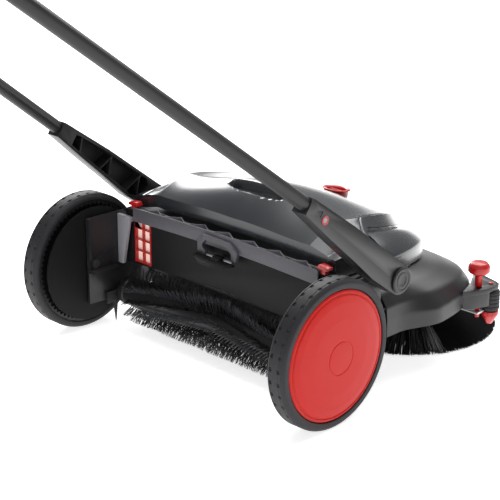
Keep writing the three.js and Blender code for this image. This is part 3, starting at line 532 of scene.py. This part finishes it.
# every other row of tufts takes the paler nylon as a painted glint
for first, word, material in [(0, "dark", NYLON), (1, "pale", TUFT_PAINTED_GLINT)]:
    points, faces = roller_tufts(first)
    put(f"roller_hairs_{word}", points, faces, material, "roller", "roller_bristles", weld=False)
print("roller brush made")

core = softened([
    [0, 283], [5, 283], [5, 245.6], [22, 245.6], [24.6, 243], [24.6, 232], [23.2, 231], [23.2, 229],
    [24.6, 228], [24.6, 217],
    [25.4, 214], [25.4, 0]], 0.8, 3)
core = np.vstack([core, core[::-1][1:] * [1, -1]])
points, faces = turned(core, 72, (ROLLER_Y, ROLLER_Z))
put("roller_drum", points, faces, HOUSING, "roller", "roller_core")

# %% [markdown]
# The side brush is a red disc with a dense skirt of long black hairs that spread out to the floor. They leave
# the disc at a slant, bow under their own weight, and touch the floor with their tips.

# %% Side brush
def side_brush():
    count = 6200
    angle = np.arange(count) * 2 * np.pi * 0.381966
    ring = rng.uniform(0, 1, count)
    start = 52 + 8 * ring
    reach = 161 - 7 * ring - np.abs(rng.normal(0, 1.6, count))
    sweep = rng.normal(0, 0.035, count)
    root = np.stack([BRUSH_X + start * np.cos(angle), BRUSH_Y + start * np.sin(angle), 55.5 + 3 * ring], -1)
    ground = 1.2 + 9 * ring * rng.uniform(0, 1, count)
    tip = np.stack([BRUSH_X + reach * np.cos(angle + sweep), BRUSH_Y + reach * np.sin(angle + sweep),
        ground], -1)
    bend = np.stack([-np.sin(angle) * 2, np.cos(angle) * 2, np.full(count, -3.0)], -1) * rng.normal(1, 0.4,
        (count, 1))
    return hairs(root, tip, bend, 0.95, 3, 0.5)


points, faces = side_brush()
put("side_brush_hairs", points, faces, NYLON, "side_brush", "side_brush_bristles", weld=False)
disc = softened([
    [0, 52], [38, 52], [60, 56], [60, 61.5], [46, 63], [24, 66], [24, 73.5], [7, 73.5], [7, 141], [0, 141]],
    1.2, 3)
points, faces = turned(disc, 72, (BRUSH_X, BRUSH_Y), "z")
put("side_brush_hub", points, faces, RED, "side_brush", "side_brush_disc")
print("side brush made")

# %% [markdown]
# The covers are free-form mouldings. Each one is a height or a plan curve written as a formula, sampled on
# a fine grid, and given a wall by stepping inwards along the surface's own normal. The top cover falls
# from a high middle to a round nose, has a turned-down lip at its back, a hand slot and the dial's seat.

# %% Surfaces with a wall
def walled(grid, wall, wrap=False):
    """Outer grid, inner grid one wall inside along the normal of the two grid directions, and the rim
    faces that join the two."""
    du = np.gradient(grid, axis=1)
    dv = np.gradient(grid, axis=0)
    normal = np.cross(du, dv)
    normal = normal / np.maximum(np.linalg.norm(normal, axis=-1, keepdims=True), 1e-9)
    inner = grid - wall * normal
    rows, columns = grid.shape[:2]
    count = rows * columns
    quads = [grid_faces(rows, columns), grid_faces(rows, columns, start=count)[:, ::-1]]
    index = np.arange(count).reshape(rows, columns)
    edges = [index[0], index[:, -1], index[-1][::-1], index[:, 0][::-1]]
    for edge in edges:
        quads.append(np.stack([edge[:-1], edge[1:], edge[1:] + count, edge[:-1] + count], -1))
    return np.vstack([grid.reshape(-1, 3), inner.reshape(-1, 3)]), np.vstack(quads)


def smoothstep(value, low, high):
    """3 t^2 - 2 t^3, where t runs from 0 at low to 1 at high."""
    t = np.clip((value - low) / (high - low), 0, 1)
    return t * t * (3 - 2 * t)


SHOULDER_X, SHOULDER_Y, SHOULDER_REACH = 175.0, 150.0, 268.0


def shoulder_height(y):
    d = np.maximum(y - SHOULDER_Y, 0)
    return 267 - 0.11 * d - 0.00074 * d * d


def shoulder_half(y):
    d = np.clip((y - SHOULDER_Y) / SHOULDER_REACH, 0, 1)
    return SHOULDER_X * np.sqrt(np.maximum(1 - d * d, 0))


def rim_half(y):
    return shoulder_half(y) + 15 + 38 * (1 - smoothstep(y, 160, 205))


def cover_height(x, y):
    """Shoulder line, plus a crown that fades towards the shoulder, minus the fall at the back, minus a
    slope outside the shoulder."""
    half = shoulder_half(y)
    rise = np.clip((SHOULDER_Y - y) / 72, 0, 1)
    across = np.minimum(np.abs(x) / np.maximum(half, 1), 1)
    ahead = np.maximum(y - SHOULDER_Y, 0) / SHOULDER_REACH
    crown = 20 * np.maximum(1 - across ** 2 * (1 - ahead ** 2) - ahead ** 2, 0) ** 2
    beside = np.maximum(np.abs(x) - half, 0)
    slope = 0.78 + 0.32 * smoothstep(y, 180, 240)
    back = 30 * rise ** 1.7
    return (shoulder_height(y) + crown * (1 - 0.5 * rise) - back * (1 - 0.25 * across)
            - beside * slope * (1 - 0.7 * rise))


DIAL_Y = 337.0


def top_cover():
    rows, columns, lip = 170, 230, 12
    v = np.linspace(0, 1, rows - lip)
    y_top = 78 + (SHOULDER_Y + SHOULDER_REACH * 0.965 - 78) * (np.sin(v * np.pi / 2) * 0.55 + v * 0.45)
    y = np.concatenate([np.full(lip, 78.0), y_top])[:, None]
    u = np.linspace(-1, 1, columns)[None, :]
    u = 0.5 * u + 0.5 * np.sin(u * np.pi / 2)
    x = rim_half(y) * u
    z = cover_height(x, y * np.ones_like(x))
    down = np.concatenate([np.linspace(22, 2.0, lip), np.zeros(rows - lip)])[:, None]
    in_lip = (down > 0).astype(float)
    y = y * np.ones_like(x)
    # hand slot: a crescent that is deepest along its straight front edge
    slot = smoothstep(np.abs(x), 62, 54) * smoothstep(
        y, 132 - 10 * (1 - (x / 62) ** 2), 134 - 10 * (1 - (x / 62) ** 2) + 2)
    slot = slot * smoothstep(y, 150, 147) * (1 - in_lip)
    ridge = np.exp(-((y - 156) / 5) ** 2) * smoothstep(np.abs(x), 75, 55) * 1.5
    seat = smoothstep(np.hypot(x, y - DIAL_Y), 24.5, 22.5) * 12
    rim_line = 1.0 * np.exp(-((rim_half(y) - np.abs(x) - 17) / 2.0) ** 2) * (1 - in_lip)
    z = z - down - 14 * slot - seat + ridge - rim_line
    return walled(np.stack([x, y, z], -1), 2.6)


points, faces = top_cover()
put("top_cover_skin", points, faces, COVER, "chassis", "top_cover", flat=45.0)
print("top cover", len(faces), "faces")

# %% [markdown]
# The nose cover is a bright band that runs round the top cover from side to side and ends in a short
# upright edge. The front housing below it steps down in ledges to a straight skirt, and flares out at the
# right corner to carry the guide roller. Both follow a rounded plan curve, an ellipse that grows squarer
# with a higher power, and both are averaged over a short stretch so that their steps have soft edges.

# %% Nose cover and front housing
HOUSING_BACK = 162.0


def plan(half, reach, power, angle):
    c, s = np.cos(angle), np.sin(angle)
    return np.sign(c) * half * np.abs(c) ** (2 / power), SHOULDER_Y + reach * s ** (2 / power)


def evened(section, v, spread, taps=5):
    """Mean of section(v + k) for a few offsets k up to +-spread, which rounds the corners of a profile."""
    offsets = np.linspace(-spread, spread, taps)
    return sum(section(np.clip(v + k, 0, 1)) for k in offsets) / taps


def nose_cover():
    rows, columns = 56, 170
    angle = np.linspace(math.radians(9), math.pi - math.radians(9), columns)[None, :]
    s = np.sin(angle)
    inner_x, inner_y = plan(SHOULDER_X + 6, SHOULDER_REACH + 4, 2, angle)
    rim_x, rim_y = plan(231, 296, 2.2, angle)
    rim_z = 202 - 52 * s ** 2
    inner_z = shoulder_height(inner_y) - 22 - 6 * s

    def section(v):
        t = np.clip(v / 0.8, 0, 1)
        drop = np.clip((v - 0.8) / 0.2, 0, 1) * 26
        x = inner_x + (rim_x - inner_x) * t
        y = inner_y + (rim_y - inner_y) * t
        z = inner_z + (rim_z - inner_z) * t + 7 * np.sin(t * np.pi) - drop
        return np.stack([x, y, z], -1)

    v = np.linspace(0, 1, rows)[:, None]
    return walled(evened(section, v, 0.03), 2.6)


points, faces = nose_cover()
put("nose_cover_skin", points, faces, COVER, "chassis", "nose_cover", flat=50.0)


def front_housing():
    rows, columns = 100, 200
    stations = [
        (227, 290, 2.3, 170, 48, 0.0), (249, 300, 3.0, 156, 36, 0.0), (262, 310, 3.5, 138, 24, 0.4),
        (264, 312, 3.5, 116, 10, 1.0), (264, 312, 3.5, 88, 0, 1.0)]
    made = []
    for half, reach, power, high, fall, flare in stations:
        start = math.asin(((HOUSING_BACK - SHOULDER_Y) / reach) ** (power / 2))
        angle = np.linspace(start, math.pi - start, columns)
        x, y = plan(half, reach, power, angle)
        x = x + flare * 26 * smoothstep(y, 190, 275) * smoothstep(x, 120, 240)
        made.append(np.stack([x, y, high - fall * np.sin(angle) ** 2], -1))
    made = np.array(made)

    def section(v):
        at = np.clip(v, 0, 1) * (len(made) - 1)
        low = np.minimum(at.astype(int), len(made) - 2)
        share = (at - low)[..., None]
        return made[low[:, 0]] * (1 - share) + made[low[:, 0] + 1] * share

    v = np.linspace(0, 1, rows)[:, None]
    return walled(evened(section, v, 0.035), 2.6)


points, faces = front_housing()
put("front_housing_skin", points, faces, HOUSING, "chassis", "front_housing", flat=50.0)
print("nose cover and front housing made")

# %% [markdown]
# The dial that locks the cover is a shallow red dish with a raised bar, in a red ring. Both are turned
# about an upright axis and then tilted with the cover.

# %% Dial and its ring
TILT = 0.16
DIAL_Z = float(cover_height(np.array(0.0), np.array(DIAL_Y))) + 6


def tilted(points):
    """Rotation about x by minus the tilt, then the move to the dial's place."""
    c, s = math.cos(TILT), math.sin(TILT)
    x, y, z = points[..., 0], points[..., 1], points[..., 2]
    return np.stack([x, c * y + s * z + DIAL_Y, c * z - s * y + DIAL_Z], -1)


ring = softened([[17.3, -16], [21.7, -16], [21.7, 2.6], [25, 2.6], [24.2, 4.2], [22.6, 5.0], [18.6, 3.6],
    [17.3, 2.0], [17.3, -16]], 0.8, 4)
points, faces = turned(ring, 96, (0, 0), "z")
put("dial_ring", tilted(points), faces, RED, "chassis", "dial_bezel")
dish = softened([[0, -9], [17, -9], [17, -2], [15.5, -1.6], [12, -3.0], [0, -3.6]], 0.7, 4)
points, faces = turned(dish, 72, (0, 0), "z")
bar_u = np.linspace(0, 2 * np.pi, 48, endpoint=False)
levels = np.array([[1.0, -4.5], [1.0, 0.8], [0.93, 1.6], [0.82, 2.0], [0.0, 2.1]])
outline_x = 13.5 * np.sign(np.cos(bar_u)) * np.abs(np.cos(bar_u)) ** 0.5
outline_y = 3.0 * np.sign(np.sin(bar_u)) * np.abs(np.sin(bar_u)) ** 0.5
shrink = levels[:, 0][:, None]
bar = np.stack([outline_x * shrink, outline_y * shrink, levels[:, 1][:, None] * np.ones(48)], -1)
bar_faces = np.vstack([grid_faces(5, 48, False, True)]) + len(points.reshape(-1, 3))
floor_of_bar = [list(range(len(points.reshape(-1, 3)), len(points.reshape(-1, 3)) + 48))]
both = np.vstack([points.reshape(-1, 3), bar.reshape(-1, 3)])
put("lock_dial_face", tilted(both), faces.tolist() + bar_faces.tolist() + floor_of_bar, RED, "lock_dial",
    "cover_lock_dial")
print("dial at height", round(DIAL_Z, 1))

# %% [markdown]
# The handle is a black painted tube with a shallow groove pressed along its upper side. Its path goes up
# from one arm, round two bends and down to the other arm. The section is a circle whose radius dips in the
# groove, carried along the path on two directions that stay square to it.

# %% Handle tube and grip
PIVOT_Y, PIVOT_Z, RISE, LENGTH = 160.0, 195.0, math.radians(38.3), 1225.0


def along_handle(along, above):
    c, s = math.cos(RISE), math.sin(RISE)
    return PIVOT_Y - along * c + above * s, PIVOT_Z + along * s + above * c


def tube_point(along):
    y, z = along_handle(along, 6.2)
    return np.array([284.5 + 0.108 * y, y, z])


def handle_path():
    corner = tube_point(LENGTH)
    before = corner + (tube_point(0) - corner) * (62 / LENGTH)
    after = corner - [62, 0, 0]
    straight = np.linspace(0, 1, 24)[:, None]
    t = np.linspace(0, 1, 22)[1:, None]
    first = tube_point(243) + straight * (before - tube_point(243))
    curve = (1 - t) ** 2 * before + 2 * t * (1 - t) * corner + t ** 2 * after
    right = np.vstack([first, curve])
    return np.vstack([right, right[::-1] * [-1, 1, 1]])


def handle_tube():
    path = handle_path()
    along = np.gradient(path, axis=0)
    along = along / np.linalg.norm(along, axis=1, keepdims=True)
    up = np.array([0, math.sin(RISE), math.cos(RISE)])
    up = up - along * (along @ up)[:, None]
    up = up / np.linalg.norm(up, axis=1, keepdims=True)
    side = np.cross(along, up)
    angle = np.linspace(0, 2 * np.pi, 40, endpoint=False)
    radius = 11.2 - 1.3 * np.exp(-((angle - np.pi / 2) / 0.16) ** 2)
    outer = (path[:, None] + side[:, None] * (np.cos(angle) * radius)[None, :, None]
             + up[:, None] * (np.sin(angle) * radius)[None, :, None])
    inner = path[:, None] + (side[:, None] * np.cos(angle)[None, :, None]
                             + up[:, None] * np.sin(angle)[None, :, None]) * 9.4
    count = outer.shape[0] * 40
    faces = [grid_faces(len(path), 40, False, True), grid_faces(len(path), 40, False, True, count)[:, ::-1]]
    for base in (0, (len(path) - 1) * 40):
        a = np.arange(40) + base
        b = (np.arange(40) + 1) % 40 + base
        faces.append(np.stack([a, b, b + count, a + count], -1))
    return np.vstack([outer.reshape(-1, 3), inner.reshape(-1, 3)]), np.vstack(faces)


points, faces = handle_tube()
put("handle_tube_skin", points, faces, TUBE, "handle", "handle_tube")
grip_y, grip_z = along_handle(LENGTH, 6.2)
d = np.linspace(-116, 116, 117)
swell = 15.2 + 0.8 * np.cos(d / 116 * np.pi / 2) + 0.5 * np.sign(np.sin(d * np.pi / 8))
body_of_grip = np.stack([swell, d], -1)
grip = np.vstack([[[11.9, -120], [14.2, -120], [15.0, -119]], body_of_grip,
    [[15.0, 119], [14.2, 120], [11.9, 120], [11.9, -120]]])
points, faces = turned(grip, 64, (grip_y, grip_z))
put("grip_sleeve", points, faces, RUBBER, "handle", "grip")
print("handle and grip made")

# %% [markdown]
# Each handle pivot ends in a round cap with two shallow rings. The right arm also shows a pale screw in a
# small red ring on its outer face.

# %% Pivot caps and arm screw
CAP = softened([
    [0, 243], [12, 243], [12, 249.6], [8, 249.6], [8, 292.4], [21.5, 292.4], [21.5, 295], [19.5, 296.4],
    [15.5, 296.4],
    [15, 295.8], [13.6, 295.8], [13.1, 296.4], [8.5, 296.4], [8, 295.6], [0, 295.6]], 0.5, 3)
for side, word in [(-1, "left"), (1, "right")]:
    points, faces = turned(CAP, 72, (PIVOT_Y, PIVOT_Z), "x", side)
    put(f"pivot_cap_{word}", points, faces, HOUSING, "chassis", f"pivot_bolt_{word}")
for name, profile, material, slot in [
        ("arm_ring", [[4.4, 291.5], [7.2, 291.5], [7.2, 292.8], [4.4, 292.8], [4.4, 291.5]], RED, "red"),
        ("arm_screw", [[0, 291.5], [4.2, 291.5], [4.2, 292.5], [0, 292.5]], GREY, "grey")]:
    points, faces = turned(softened(profile, 0.2, 2), 48, (-19.0, 339.0), "x", 1)
    put(name, points, faces, material, "handle", ())
print("pivot caps made")

# %% [markdown]
# The guide roller at the corner is a short dark rubber wheel with a few shallow rings.

# %% Guide roller
roller_low, roller_high = [np.array(c) * 1000 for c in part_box("guide_roller")]
GX = (roller_low[0] + roller_high[0]) / 2
GY = (roller_low[1] + roller_high[1]) / 2 - AXLE_Y
rings = [[5.3, 74], [13, 74], [16, 77]]
for z in (83, 90, 97, 104):
    rings += [[16, z - 1.2], [15.2, z - 0.6], [15.2, z + 0.6], [16, z + 1.2]]
rings += [[16, 107], [13, 110.5], [5.3, 110.5], [5.3, 74]]
points, faces = turned(softened(rings, 0.8, 3), 72, (GX, GY), "z")
put("guide_roller_tread", points, faces, RUBBER, "corner_roller", "guide_roller")
print("guide roller made")

# %% [markdown]
# The set stands on a plain, nearly white floor under soft studio light: one wide light overhead, one from
# the front left and one high in front for the long highlights on the covers, and a weak one from the right.

# %% Floor, lights and world
floor_mesh = bpy.data.meshes.new("floor")
floor_mesh.from_pydata([(-30, -30, 0), (30, -30, 0), (30, 30, 0), (-30, 30, 0)], [], [(0, 1, 2, 3)])
floor = bpy.data.objects.new("floor", floor_mesh)
bpy.context.scene.collection.objects.link(floor)
paper = Shader("floor_paper")
floor_mesh.materials.append(paper.set(Base_Color=(0.93, 0.93, 0.93, 1), Roughness=0.9,
                                      Emission_Color=(1, 1, 1, 1), Emission_Strength=0.75))


def soft_light(name, place, target, size, power):
    data = bpy.data.lights.new(name, "AREA")
    data.shape = "RECTANGLE"
    data.size, data.size_y = size
    data.energy = power
    lamp = bpy.data.objects.new(name, data)
    lamp.location = place
    direction = np.array(target) - np.array(place)
    yaw = math.atan2(-direction[0], direction[1])
    pitch = math.atan2(math.hypot(direction[0], direction[1]), -direction[2])
    lamp.rotation_euler = (pitch, 0, yaw)
    bpy.context.scene.collection.objects.link(lamp)
    return lamp


soft_light("overhead", (0.0, 0.4, 2.6), (0, 0.2, 0), (2.4, 2.0), 44)
soft_light("back_left", (-2.2, 1.8, 1.6), (0, 0.2, 0.2), (1.6, 1.2), 62)
soft_light("front_high", (-0.2, 2.3, 1.9), (0.1, 0.3, 0.1), (2.0, 1.0), 32)
soft_light("camera_side", (2.6, -0.6, 1.2), (0.1, 0.1, 0.15), (1.4, 1.4), 4)
world = bpy.data.worlds.new("studio")
world.use_nodes = True
world.node_tree.nodes["Background"].inputs["Color"].default_value = (1, 1, 1, 1)
world.node_tree.nodes["Background"].inputs["Strength"].default_value = 0.3
bpy.context.scene.world = world
bpy.context.scene.view_settings.view_transform = "Standard"
print("stage set")
